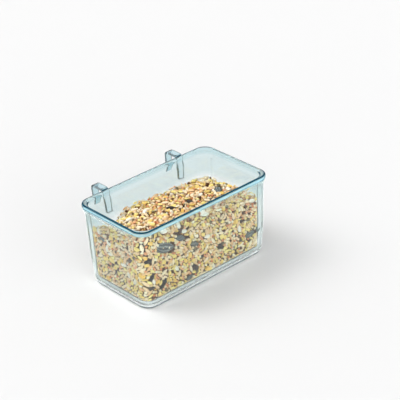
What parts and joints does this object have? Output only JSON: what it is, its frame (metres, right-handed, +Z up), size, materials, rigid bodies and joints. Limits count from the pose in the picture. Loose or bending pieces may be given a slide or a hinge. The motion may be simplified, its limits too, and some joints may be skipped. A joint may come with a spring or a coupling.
{
  "type": "seed cup",
  "caption": "Clear plastic rectangular seed cup with a flared rim and rear hooks for a cage bar, filled with loose mixed bird seed.",
  "frame": {"origin": "on the standing plane, under the middle of the whole outline, hooks included", "axes": "+Z up, X along the cup's long side, +Y towards the bar that the hooks hang on"},
  "size_m": [0.14, 0.0948, 0.0748],
  "materials": {
    "clear_plastic": "clear, glossy, pale aqua",
    "seed_mix": "loose mixed grain",
    "white_millet": "smooth husk, satin",
    "red_millet": "smooth husk, satin",
    "canary_seed": "smooth husk, satin",
    "oat_groats": "hulled, dull",
    "hemp_seed": "mottled shell, satin",
    "buckwheat": "dull husk",
    "cracked_corn": "broken, waxy",
    "safflower_seed": "smooth shell, satin",
    "striped_sunflower": "striped shell, dull",
    "black_sunflower": "ribbed shell, satin"
  },
  "bodies": {
    "root": {"cup": "clear_plastic", "hook_left": "clear_plastic", "hook_right": "clear_plastic", "seed_bed": "seed_mix", "white_millet": "white_millet", "red_millet": "red_millet", "canary_seed": "canary_seed", "oat_groats": "oat_groats", "hemp_seed": "hemp_seed", "buckwheat": "buckwheat", "cracked_corn": "cracked_corn", "safflower_seed": "safflower_seed", "striped_sunflower_seed": "striped_sunflower", "black_sunflower_seed": "black_sunflower"}
  },
  "joints": []
}
